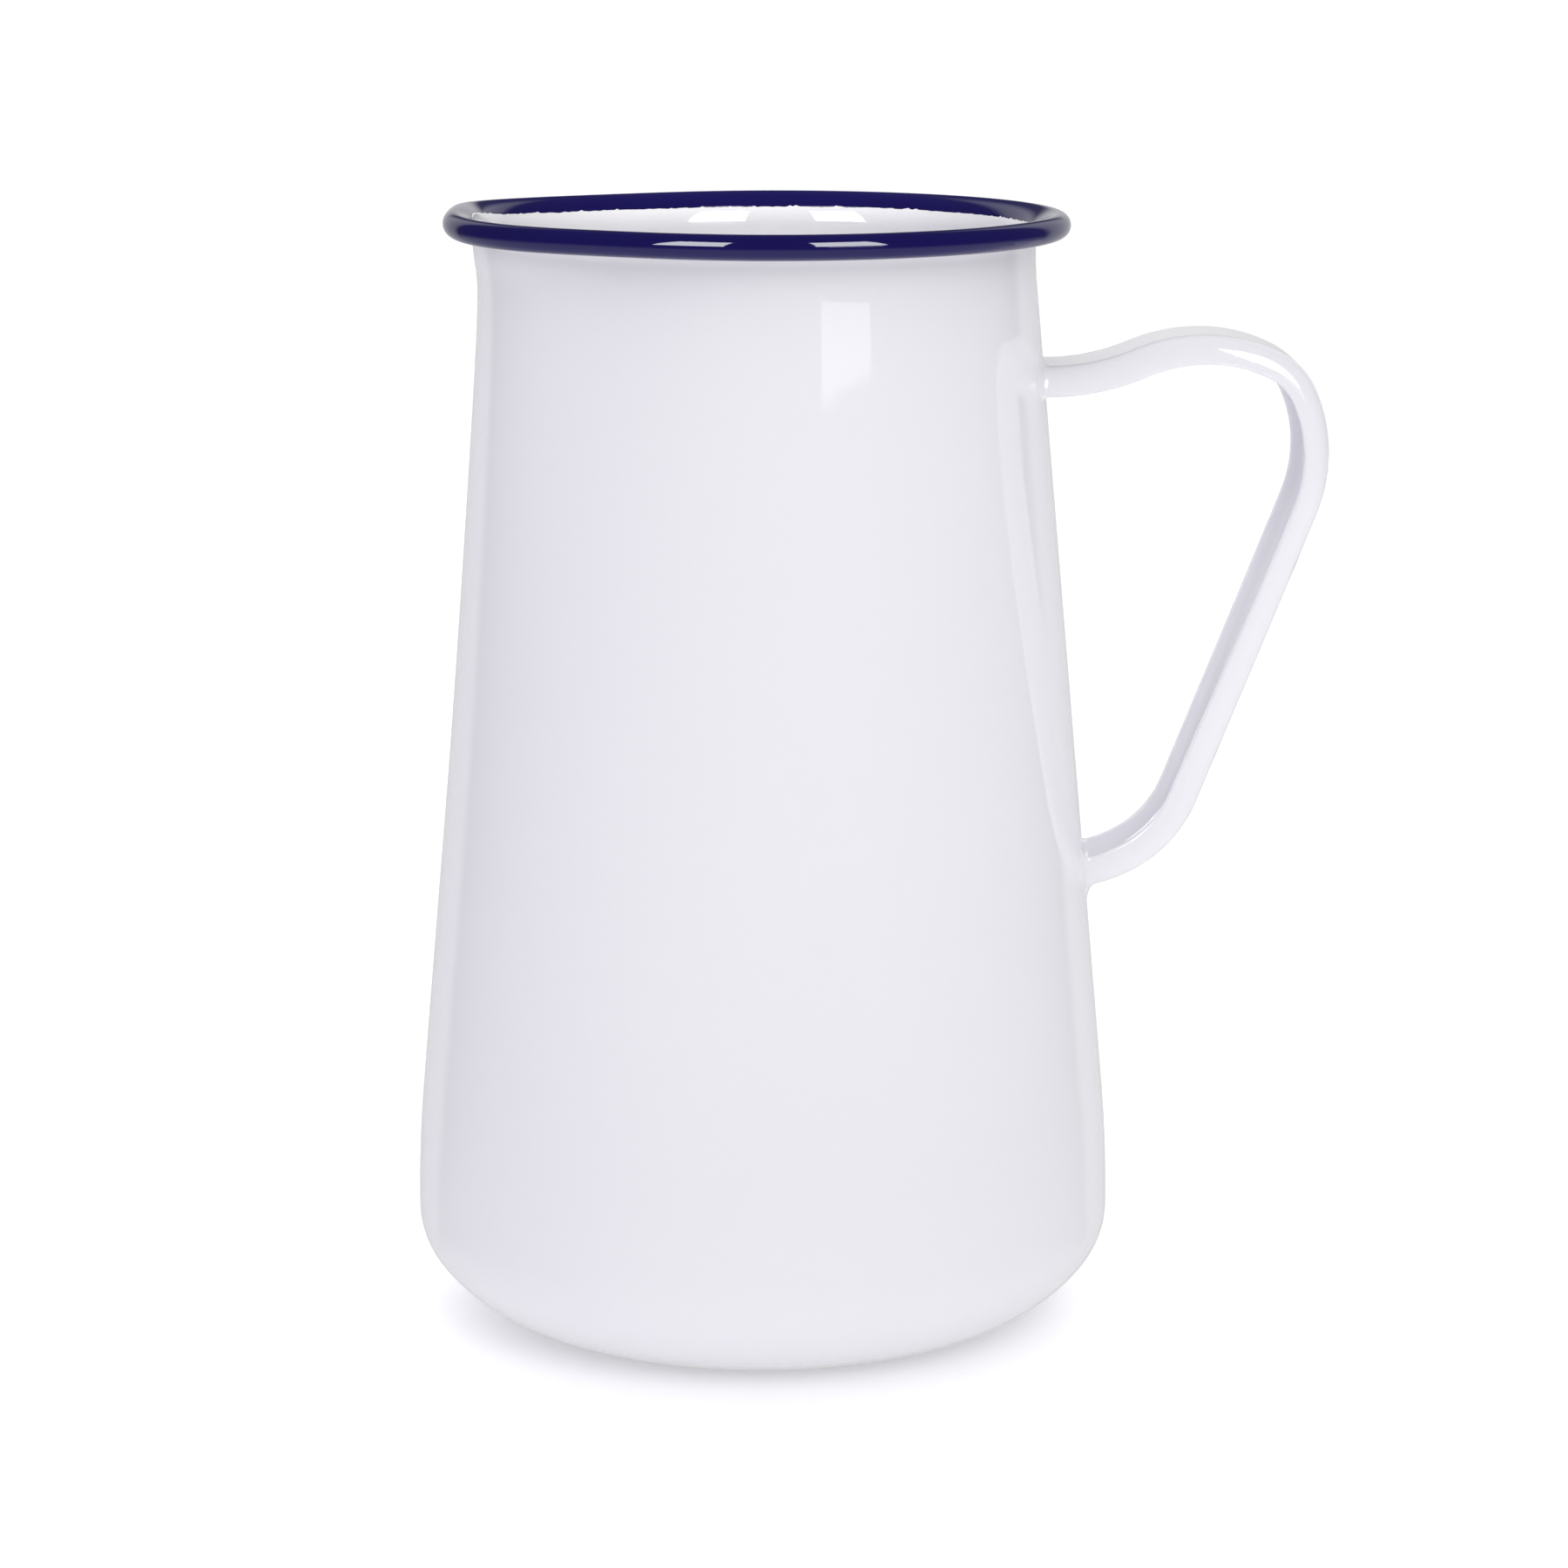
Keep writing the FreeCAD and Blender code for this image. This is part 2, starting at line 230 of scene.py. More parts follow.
def softened(corners, radius, count=7):
    """A polyline's inner corners turned into short curves."""
    points = [corners[0]]
    for before, at, after in zip(corners, corners[1:], corners[2:]):
        at = np.array(at)
        to_before = np.array(before) - at
        to_after = np.array(after) - at
        start = at + to_before * min(radius / np.linalg.norm(to_before), SOFTEN_MOST)
        end = at + to_after * min(radius / np.linalg.norm(to_after), SOFTEN_MOST)
        for t in np.linspace(0, 1, count):
            points.append(tuple((1 - t) ** 2 * start + 2 * t * (1 - t) * at + t * t * end))
    return points


def pan_line(depth):
    """The pan's surface at a depth in from its outer finish, from the axis outwards."""
    recess_z = RECESS_DEEP + depth
    corners = [
        (RECESS_FLAT_R, recess_z),
        (RECESS_R, recess_z),
        (RING_INNER_R, depth),
        (RING_OUTER_R, depth),
    ]
    top = math.asin((JOINT_Z - BLEND_CENTRE[1]) / (BLEND_R - depth))
    line = [(r, recess_z) for r in np.linspace(0, RECESS_FLAT_R, 8)[:-1]]
    line += softened(corners, RECESS_ROUND)
    line += arc_points(HEEL_CENTRE, HEEL_R - depth, -math.pi / 2, HEEL_ANGLE, 26)
    line += arc_points(CORNER_CENTRE, CORNER_R - depth, HEEL_ANGLE, 0, 14)[1:]
    line += arc_points(BLEND_CENTRE, BLEND_R - depth, 0, top, 12)[1:]
    return line


# ---------------------------------------------------------------- mesh making
def angles_round(steps):
    """Turns from +X, and the same places as degrees from the lip, -180 to 180."""
    turns = np.arange(steps) * 2 * math.pi / steps
    return turns, np.degrees(turns) - 180.0


def closed_layer(name, rings, turns):
    """A closed skin from a closed section: each ring is (r, z) arrays round the jug.

    A ring with no radius is drawn in to a single point.
    """
    steps = len(turns)
    around = np.arange(steps)
    points, index, used = [], [], 0
    for r, z in rings:
        at_axis = np.max(r) < AXIS_R
        kept = 1 if at_axis else steps
        ring = np.column_stack([r * np.cos(turns), r * np.sin(turns), z])
        points.append(ring[:kept])
        index.append(used + (np.zeros_like(around) if at_axis else around))
        used += kept
    faces = []
    for low, high in zip(index, index[1:] + index[:1]):
        quads = np.column_stack([low, np.roll(low, -1), np.roll(high, -1), high])
        if low[0] == low[1] and high[0] == high[1]:
            continue
        if low[0] == low[1]:
            quads = quads[:, 1:]
        elif high[0] == high[1]:
            quads = quads[:, :3]
        faces += quads.tolist()
    return make_mesh(name, np.vstack(points), faces)


def make_mesh(name, points, faces):
    mesh = bpy.data.meshes.new(name)
    mesh.from_pydata((np.asarray(points) * MM).tolist(), [], faces)
    mesh.validate()
    mesh.update()
    mesh.shade_smooth()
    piece = bpy.data.objects.new(name, mesh)
    bpy.context.scene.collection.objects.link(piece)
    return piece


def full(value, angle):
    """The same value all the way round."""
    return np.full_like(angle, float(value))


def wall_heights():
    """Heights of the mesh rounds up the wall."""
    share = np.linspace(0, 1, WALL_ROUNDS) ** WALL_CROWDING
    return JOINT_Z + (WALL_TOP_Z - JOINT_Z) * share


def periodic_noise(steps, knots, rng):
    """Smooth random values round a closed ring, about -1 to 1."""
    values = rng.uniform(-1, 1, knots)
    at = np.arange(steps) * knots / steps
    low = np.floor(at).astype(int)
    share = at - low
    share = share * share * (3 - 2 * share)
    return values[low % knots] * (1 - share) + values[(low + 1) % knots] * share


# ---------------------------------------------------------------- white body coats
def make_outer_coat():
    turns, angle = angles_round(ROUND_STEPS)
    rings = [(full(r * SHY, angle), full(z, angle)) for r, z in pan_line(0)]
    heights = wall_heights()
    rings += [on_wall(z, angle, WALL) for z in heights[1:]]
    ups = np.linspace(0, COAT_TUCK, 14)
    rings += [on_flare(up, angle, WALL) for up in ups]
    rings += [on_flare(up, angle, WALL - COAT) for up in ups[::-1]]
    rings += [on_wall(z, angle, WALL - COAT) for z in heights[:0:-1]]
    rings += [(full(r, angle), full(z, angle)) for r, z in pan_line(COAT)[::-1]]
    return closed_layer("outer_white_enamel", rings, turns)


def make_inner_coat():
    turns, angle = angles_round(ROUND_STEPS)
    under = COAT + SHEET
    rings = [(full(r, angle), full(z, angle)) for r, z in pan_line(WALL)]
    heights = wall_heights()
    rings += [on_wall(z, angle, 0.0) for z in heights[1:]]
    end = RIM_START + RIM_LAP
    level_end, round_end = end - INNER_EDGE[0], end - INNER_EDGE[1]
    rings += [on_flare(up, angle, 0.0) for up in np.linspace(0, level_end, 12)]
    rings += [on_flare(round_end, angle, COAT * 0.15), on_flare(end, angle, COAT / 2)]
    rings += [on_flare(up, angle, COAT) for up in np.linspace(end, 0, 12)]
    rings += [on_wall(z, angle, COAT) for z in heights[:0:-1]]
    rings += [(full(r, angle), full(z, angle)) for r, z in pan_line(under)[::-1]]
    return closed_layer("inner_white_enamel", rings, turns)


# ---------------------------------------------------------------- navy rim coat
EDGE_WANDER = ((0.07, 46), (0.06, 170), (0.06, 430))     # millimetres, waves round
NICK_WIDTH = (1.2, 3.2)                                  # mesh columns
NICK_DEPTH = (0.1, 0.3)                                  # millimetres
INSIDE_NICKS = 90
OUTSIDE_NICKS = 30
RIM_SEED = 7
# the rounded edge inside the mouth: further along the flare, and depth
RIM_EDGE = (
    (0.004, 0.06),
    (0.0, 0.02),
    (-0.001, -0.4 * RIM_PROUD),
    (0.005, -0.85 * RIM_PROUD),
)
RIM_EDGE_LENGTH = 0.015    # share of the flare that the edge takes up
RIM_PROUD_FADE = 1.5       # how fast the colour sinks back to its normal height
RIM_UNDER_TOP = 0.94       # the colour's underside runs down the flare from here
RIM_UNDER_GAP = 0.02       # to this far above the white's edge


def ragged(rng, nicks):
    """How far the colour's edge wanders, in millimetres, with short nicks into it."""
    steps = RIM_STEPS
    wander = np.zeros(steps)
    for height, knots in EDGE_WANDER:
        wander += height * periodic_noise(steps, knots, rng)
    place = np.arange(steps)
    for _ in range(nicks):
        at = rng.integers(steps)
        width = rng.uniform(*NICK_WIDTH)
        away = (place - at + steps / 2) % steps - steps / 2
        wander += rng.uniform(*NICK_DEPTH) * np.exp(-((away / width) ** 2))
    return wander


def make_rim_coat():
    rng = np.random.default_rng(RIM_SEED)
    turns, angle = angles_round(RIM_STEPS)
    start = RIM_START + ragged(rng, INSIDE_NICKS) / FLARE_LENGTH
    end = RIM_END + ragged(rng, OUTSIDE_NICKS) / BEAD_LENGTH
    rings = [on_flare(start + along, angle, depth) for along, depth in RIM_EDGE]
    for share in np.linspace(0, 1, 22)[1:]:
        up = (start + RIM_EDGE_LENGTH) * (1 - share) + share
        rings.append(on_flare(up, angle, -RIM_PROUD * (1 - share) ** RIM_PROUD_FADE))
    for share in np.linspace(0, 1, 44)[1:]:
        rings.append(on_bead(end * share, angle, BEAD_SHY))
    for share in np.linspace(1, 0, 18):
        rings.append(on_bead(end * share, angle, COAT))
    for up in np.linspace(RIM_UNDER_TOP, RIM_START + RIM_LAP + RIM_UNDER_GAP, 7):
        rings.append(on_flare(up, angle, COAT))
    return closed_layer("rim_navy_enamel", rings, turns)


# ---------------------------------------------------------------- handle coat
STRAP_STEP = 0.1           # length between samples of the back line
ROOT_REACH = 30.0          # the wall is met within this length of each end
MEET_HALVINGS = 30
HANDLE_ROUNDS = 230        # mesh rounds along the strap
ROOT_ROUNDS = 12           # and up each gathered root
ROOT_CROWDING = 1.6        # above 1 they stand closer together at the wall
ROOT_RISE = (1.5, 2.0)     # height of the gathered enamel at the top and foot roots
ROOT_SPREAD = (1.3, 1.9)   # how far it spreads over the wall
FOOT_BACK_SPREAD = 1.7     # extra spread under the foot, where it ran down
ROOT_SUNK = -0.12          # its edge ends this far under the wall's surface
ROOT_SKIRT = 0.6           # and this much further out


def strap_line():
    """Samples of the strap's back line: length, x, z, heading; and where runs end."""
    step = STRAP_STEP
    ends, headings = [0.0], [0.0]
    for size, turn in STRAP_RUNS:
        length = size * abs(math.radians(turn)) if turn else size
        ends.append(ends[-1] + length)
        headings.append(headings[-1] + math.radians(turn))
    at = np.arange(0, ends[-1] + step / 2, step)
    heading = np.interp(at, ends, headings)
    half = round(STRAP_EASE / step / 2)
    window = np.hanning(2 * half + 3)[1:-1]
    padded = np.concatenate([[heading[0]] * half, heading, [heading[-1]] * half])
    heading = np.convolve(padded, window / window.sum(), "valid")
    middle = (heading[1:] + heading[:-1]) / 2
    x = STRAP_START[0] + np.concatenate([[0], np.cumsum(np.cos(middle) * step)])
    z = STRAP_START[1] + np.concatenate([[0], np.cumsum(np.sin(middle) * step)])
    return at, x, z, heading, ends


def channel_half(width, depth):
    """Right half of the channel's section: (y, s, outward y, outward s) rows.

    They run from the middle of its back round the tip to the middle of its inner face.
    """
    half = width / 2
    tip_r = STRAP_WALL / 2
    big, small = STRAP_CORNER_R, STRAP_CORNER_R - STRAP_WALL
    rows = []
    for y in np.linspace(0, half - big, 8)[:-1]:
        rows.append((y, 0.0, 0.0, -1.0))
    for a in np.linspace(-math.pi / 2, 0, 11):
        c, s = math.cos(a), math.sin(a)
        rows.append((half - big + big * c, big + big * s, c, s))
    for at in np.linspace(big, depth - tip_r, 5)[1:-1]:
        rows.append((half, at, 1.0, 0.0))
    for a in np.linspace(0, math.pi, 14):
        c, s = math.cos(a), math.sin(a)
        rows.append((half - tip_r + tip_r * c, depth - tip_r + tip_r * s, c, s))
    inner = half - STRAP_WALL
    for at in np.linspace(depth - tip_r, STRAP_CORNER_R, 5)[1:-1]:
        rows.append((inner, at, -1.0, 0.0))
    for a in np.linspace(0, -math.pi / 2, 11):
        c, s = math.cos(a), math.sin(a)
        rows.append((inner - small + small * c, STRAP_CORNER_R + small * s, -c, -s))
    for y in np.linspace(inner - small, 0, 8)[1:]:
        rows.append((y, STRAP_WALL, 0.0, 1.0))
    return np.array(rows)


class Strap:
    """The handle's surface: a section swept along the back line, ending on the wall."""

    def __init__(self):
        self.at, self.x, self.z, self.heading, ends = strap_line()
        self.narrow = [ends[run + 1] for run in STRAP_TAPER_RUNS]
        self.length = self.at[-1]
        right = channel_half(STRAP_WIDTHS[0], STRAP_DEPTHS[0])
        self.count = 2 * len(right) - 2

    def section(self, at):
        """Section rows at one walked length, closed, starting in the back's middle."""
        share = min(max((at - self.narrow[0]) / (self.narrow[1] - self.narrow[0]), 0), 1)
        ease = share * share * (3 - 2 * share)
        width = STRAP_WIDTHS[0] + (STRAP_WIDTHS[1] - STRAP_WIDTHS[0]) * ease
        early = min(at / self.narrow[0], 1.0)
        top, middle, foot = STRAP_DEPTHS
        right = channel_half(width, top + (middle - top) * early + (foot - middle) * ease)
        left = right[-2:0:-1] * np.array([-1, 1, -1, 1])
        return np.vstack([right, left])

    def place(self, at, grow):
        """Points at walked length at[i] on section line i, grown out by grow[i]."""
        rows = np.array([self.section(a)[i] for i, a in enumerate(at)])
        y = rows[:, 0] + rows[:, 2] * grow
        s = rows[:, 1] + rows[:, 3] * grow
        x = np.interp(at, self.at, self.x)
        z = np.interp(at, self.at, self.z)
        h = np.interp(at, self.at, self.heading)
        return np.column_stack([x + s * np.sin(h), y, z - s * np.cos(h)])

    def meet(self, height, grow, end):
        """Where each section line, grown out, stands at a height over the wall."""
        near, far = 0.0, ROOT_REACH
        if end == 1:
            near, far = self.length, self.length - ROOT_REACH
        low = np.full(self.count, near)
        high = np.full(self.count, far)
        for _ in range(MEET_HALVINGS):
            middle = (low + high) / 2
            p = self.place(middle, grow)
            over = (np.hypot(p[:, 0], p[:, 1]) - cone_r(p[:, 2])) * math.cos(TAPER)
            inside = over < height
            low = np.where(inside, middle, low)
            high = np.where(inside, high, middle)
        return (low + high) / 2


def root_rows(strap, end):
    """Rows of the enamel gathered round one root, from the wall out to the strap."""
    rise, spread = ROOT_RISE[end], np.full(strap.count, ROOT_SPREAD[end])
    if end == 1:
        facing_back = np.clip(-strap.section(strap.length)[:, 3], 0, 1)
        spread = spread + FOOT_BACK_SPREAD * facing_back
    rows = []
    skirt = spread + ROOT_SKIRT
    rows.append(strap.place(strap.meet(ROOT_SUNK, skirt, end), skirt))
    for share in np.linspace(0, 1, ROOT_ROUNDS) ** ROOT_CROWDING:
        height = rise * share
        grow = spread * (1 - np.sqrt(1 - (1 - share) ** 2))
        rows.append(strap.place(strap.meet(height, grow, end), grow))
    return rows, strap.meet(rise, np.zeros(strap.count), end)


def make_handle_coat():
    strap = Strap()
    rows, start = root_rows(strap, 0)
    last_rows, stop = root_rows(strap, 1)
    flat = np.full(strap.count, HANDLE_SHY)
    for share in np.linspace(0, 1, HANDLE_ROUNDS)[1:-1]:
        rows.append(strap.place(start * (1 - share) + stop * share, flat))
    rows += last_rows[::-1]
    count = strap.count
    faces = []
    for k in range(len(rows) - 1):
        a = k * count
        for i in range(count):
            j = (i + 1) % count
            faces.append((a + i, a + j, a + count + j, a + count + i))
    faces += cap_faces(0, count, False)
    faces += cap_faces((len(rows) - 1) * count, count, True)
    return make_mesh("handle_white_enamel", np.vstack(rows), faces)


def cap_faces(first, count, flip):
    """Faces that close one end, across the channel's thickness on each half."""
    half = count // 2
    faces = []
    for i in range(half // 2):
        right = [first + i, first + i + 1, first + half - i - 1, first + half - i]
        left = [
            first + (count - i) % count,
            first + count - i - 1,
            first + half + i + 1,
            first + half + i,
        ]
        faces += [trimmed(right, flip), trimmed(left, not flip)]
    return [face for face in faces if len(face) > 2]


def trimmed(quad, flip):
    kept = [v for k, v in enumerate(quad) if v not in quad[:k]]
    return kept[::-1] if flip else kept


# ---------------------------------------------------------------- materials
WHITE = (0.88, 0.872, 0.905)
WHITE_SHADE = (0.86, 0.85, 0.892)
# the inside coat's white is set lighter than the outside's: painted light inside the
# mouth, not a different enamel
WHITE_INSIDE_PAINTED_LIGHT = (0.93, 0.925, 0.945)
NAVY = (0.009, 0.006, 0.09)
NAVY_SHADE = (0.007, 0.0045, 0.074)
PINHOLE = (0.28, 0.26, 0.3)
STEEL = (0.5, 0.5, 0.52)
ENAMEL_IOR = 1.5
ENAMEL_ROUGHNESS = 0.035
STEEL_ROUGHNESS = (0.32, 0.5)
RIPPLE = 0.00001           # height of the ripples in the glaze, metres
PEEL_SHARE = 0.22          # how much of it the finer ones add
PINHOLE_CHANCE = 0.985     # share of the cells that stay clear
PINHOLE_SIZE = 0.011       # as a share of a cell

# scales of the patterns, per metre
DRIFT_SCALE = 14.0
PINHOLE_SCALE = 55.0
RIPPLE_SCALE = 95.0
PEEL_SCALE = 420.0
GRAIN_SCALE = 900.0
GRAIN_STRETCH = (1.0, 1.0, 0.04)


def new_material(name):
    material = bpy.data.materials.new(name)
    material.use_nodes = True
    nodes = material.node_tree.nodes
    return material, nodes, material.node_tree.links, nodes["Principled BSDF"]


def add(nodes, kind, **values):
    """A node with its properties, or its sockets by name, set."""
    node = nodes.new(kind)
    for key, value in values.items():
        if key in node.inputs:
            node.inputs[key].default_value = value
        else:
            setattr(node, key, value)
    return node


def joined(nodes, links, operation, first, second):
    """Two values put through a maths node."""
    maths = add(nodes, "ShaderNodeMath", operation=operation)
    links.new(first, maths.inputs[0])
    links.new(second, maths.inputs[1])
    return maths.outputs[0]


def enamel(name, colour, shade):
    """Fired enamel: two near tints, a rippled glaze, and sparse sunk pinholes."""
    material, nodes, links, shader = new_material(name)
    place = add(nodes, "ShaderNodeTexCoord")
    shader.inputs["Roughness"].default_value = ENAMEL_ROUGHNESS
    shader.inputs["IOR"].default_value = ENAMEL_IOR

    drift = add(nodes, "ShaderNodeTexNoise", Scale=DRIFT_SCALE, Detail=2.0)
    tint = add(nodes, "ShaderNodeMix", data_type="RGBA")
    tint.inputs[6].default_value = (*colour, 1)
    tint.inputs[7].default_value = (*shade, 1)
    links.new(place.outputs["Object"], drift.inputs["Vector"])
    links.new(drift.outputs["Fac"], tint.inputs[0])

    cells = add(nodes, "ShaderNodeTexVoronoi", Scale=PINHOLE_SCALE)
    chance = add(nodes, "ShaderNodeSeparateColor")
    rare = add(nodes, "ShaderNodeMath", operation="GREATER_THAN")
    rare.inputs[1].default_value = PINHOLE_CHANCE
    dot = add(nodes, "ShaderNodeMath", operation="LESS_THAN")
    dot.inputs[1].default_value = PINHOLE_SIZE
    speck = add(nodes, "ShaderNodeMix", data_type="RGBA")
    speck.inputs[7].default_value = (*PINHOLE, 1)
    links.new(place.outputs["Object"], cells.inputs["Vector"])
    links.new(cells.outputs["Color"], chance.inputs["Color"])
    links.new(chance.outputs["Red"], rare.inputs[0])
    links.new(cells.outputs["Distance"], dot.inputs[0])
    both = joined(nodes, links, "MULTIPLY", rare.outputs[0], dot.outputs[0])
    links.new(both, speck.inputs[0])
    links.new(tint.outputs[2], speck.inputs[6])
    links.new(speck.outputs[2], shader.inputs["Base Color"])

    broad = add(nodes, "ShaderNodeTexNoise", Scale=RIPPLE_SCALE, Detail=1.0)
    peel = add(nodes, "ShaderNodeTexNoise", Scale=PEEL_SCALE, Detail=1.5)
    scaled = add(nodes, "ShaderNodeMath", operation="MULTIPLY")
    scaled.inputs[1].default_value = PEEL_SHARE
    bump_node = add(nodes, "ShaderNodeBump", Strength=1.0, Distance=RIPPLE)
    links.new(place.outputs["Object"], broad.inputs["Vector"])
    links.new(place.outputs["Object"], peel.inputs["Vector"])
    links.new(peel.outputs["Fac"], scaled.inputs[0])
    total = joined(nodes, links, "ADD", broad.outputs["Fac"], scaled.outputs[0])
    links.new(total, bump_node.inputs["Height"])
    links.new(bump_node.outputs["Normal"], shader.inputs["Normal"])
    return material


def rolled_steel():
    """Bare cold-rolled sheet with its rolling grain, under the enamel everywhere."""
    material, nodes, links, shader = new_material("rolled_steel")
    shader.inputs["Metallic"].default_value = 1.0
    shader.inputs["Base Color"].default_value = (*STEEL, 1)
    place = add(nodes, "ShaderNodeTexCoord")
    stretch = add(nodes, "ShaderNodeMapping")
    stretch.inputs["Scale"].default_value = GRAIN_STRETCH
    grain = add(nodes, "ShaderNodeTexNoise", Scale=GRAIN_SCALE, Detail=3.0)
    spread = add(nodes, "ShaderNodeMapRange")
    spread.inputs["To Min"].default_value = STEEL_ROUGHNESS[0]
    spread.inputs["To Max"].default_value = STEEL_ROUGHNESS[1]
    links.new(place.outputs["Object"], stretch.inputs["Vector"])
    links.new(stretch.outputs["Vector"], grain.inputs["Vector"])
    links.new(grain.outputs["Fac"], spread.inputs["Value"])
    links.new(spread.outputs["Result"], shader.inputs["Roughness"])
    return material


def dress(piece, material):
    piece.data.materials.clear()
    piece.data.materials.append(material)


# ---------------------------------------------------------------- studio
# soft light from each side: axis, sign, colour
SOFT_LOBES = (
    ("Z", 1, (1.3, 1.29, 1.3)),
    ("Z", -1, (0.9, 0.9, 0.9)),
    ("Y", -1, (0.58, 0.58, 0.59)),
    ("Y", 1, (1.8, 1.8, 1.82)),
    ("X", -1, (0.0, 0.0, 0.1)),
)

# what the gloss shows; the edges fade between two values of a direction's coordinate
GLOSS_DARK = 0.08          # flags and far studio
GLOSS_PANEL = 0.66         # two bright panels, behind to the left and to the right
PANEL_OUTER = (0.62, 0.74)      # their edges along Y
PANEL_INNER = (0.16, 0.34)      # and along X
LOW_BAND = (0.26, 0.12)         # below this height the gap between them is bright too
GLOSS_FLOOR = (-0.08, -0.45)    # how the floor comes in along Z

# boxes that only the gloss shows, 1 m away: azimuth, foot, top, width, radiance
GLOSS_BOXES = {
    "box_right": (31.2, 0.42, 1.25, 0.51, 13.0),
    "box_right_foot": (32.6, 0.247, 0.42, 0.38, 2.0),
    "box_left": (-34.5, 0.42, 1.25, 0.465, 13.0),
}

FLOOR_SIDE = 20.0
FLOOR_COLOUR = (0.9, 0.9, 0.91)
FLOOR_ROUGHNESS = 0.9
FLOOR_GLOW = 0.23
LIGHT_COLOUR = (1.0, 1.0, 1.0)

JUG_MIDDLE = (0.0, 0.0, 0.13)
JUG_RIM = (0.0, 0.0, 0.2)
FAR_INSIDE = (0.0, 0.045, 0.2)
# place as azimuth, distance and height; side, or radius for the mouth; watts
KEY = ((20, 1.4, 1.1), 1.0, 5.0)
BACK = ((200, 1.2, 1.27), 0.9, 2.0)
MOUTH = ((0, 0.25, 0.9), 0.02, 7.0)
MOUTH_CONE = math.radians(7.6)
MOUTH_BLEND = 0.5

CAMERA_AT = (0.00419, -0.8607, 0.2795)
CAMERA_PITCH = math.radians(78.47)
CAMERA_LENS = 103.486
CAMERA_SENSOR = 36.0


def on_compass(azimuth, distance, height):
    """A place in the studio; azimuth is degrees to the right of the camera's side."""
    a = math.radians(azimuth)
    return (distance * math.sin(a), -distance * math.cos(a), height)


def aimed(name, data, location, target):
    """A lamp in the scene, turned from its place towards a target."""
    lamp = bpy.data.objects.new(name, data)
    lamp.location = location
    toward = Vector(target) - Vector(location)
    lamp.rotation_euler = toward.to_track_quat("-Z", "Y").to_euler()
    bpy.context.scene.collection.objects.link(lamp)
    return lamp


def area_light(name, location, target, size, energy):
    data = bpy.data.lights.new(name, "AREA")
    data.shape = "RECTANGLE"
    data.size, data.size_y = size
    data.energy = energy
    data.color = LIGHT_COLOUR
    return aimed(name, data, location, target)


def mouth_light():
    """A narrow lamp that reaches only into the mouth, on to the far inside wall."""
    place, radius, energy = MOUTH
    data = bpy.data.lights.new("mouth", "SPOT")
    data.energy = energy
    data.spot_size = MOUTH_CONE
    data.spot_blend = MOUTH_BLEND
    data.shadow_soft_size = radius
    return aimed("mouth", data, on_compass(*place), FAR_INSIDE)


def lobe_sum(nodes, links, axes, lobes):
    """Light that falls off with the squared cosine from each lobe's direction."""
    total = None
    for axis, sign, colour in lobes:
        facing = add(nodes, "ShaderNodeMath", operation="MULTIPLY")
        facing.inputs[1].default_value = sign
        clipped = add(nodes, "ShaderNodeMath", operation="MAXIMUM")
        clipped.inputs[1].default_value = 0.0
        squared = add(nodes, "ShaderNodeMath", operation="POWER")
        squared.inputs[1].default_value = 2.0
        tinted = add(nodes, "ShaderNodeVectorMath", operation="SCALE")
        tinted.inputs[0].default_value = colour
        links.new(axes.outputs[axis], facing.inputs[0])
        links.new(facing.outputs[0], clipped.inputs[0])
        links.new(clipped.outputs[0], squared.inputs[0])
        links.new(squared.outputs[0], tinted.inputs["Scale"])
        if total is None:
            total = tinted
            continue
        both = add(nodes, "ShaderNodeVectorMath", operation="ADD")
        links.new(total.outputs[0], both.inputs[0])
        links.new(tinted.outputs[0], both.inputs[1])
        total = both
    return total


def faded(nodes, links, value, edges):
    """A smooth step from 0 to 1 between two values, which may run downwards."""
    low, high = sorted(edges)
    step = add(nodes, "ShaderNodeMapRange", interpolation_type="SMOOTHSTEP")
    step.inputs["From Min"].default_value = low
    step.inputs["From Max"].default_value = high
    if edges[0] > edges[1]:
        step.inputs["To Min"].default_value = 1.0
        step.inputs["To Max"].default_value = 0.0
    links.new(value, step.inputs["Value"])
    return step.outputs["Result"]


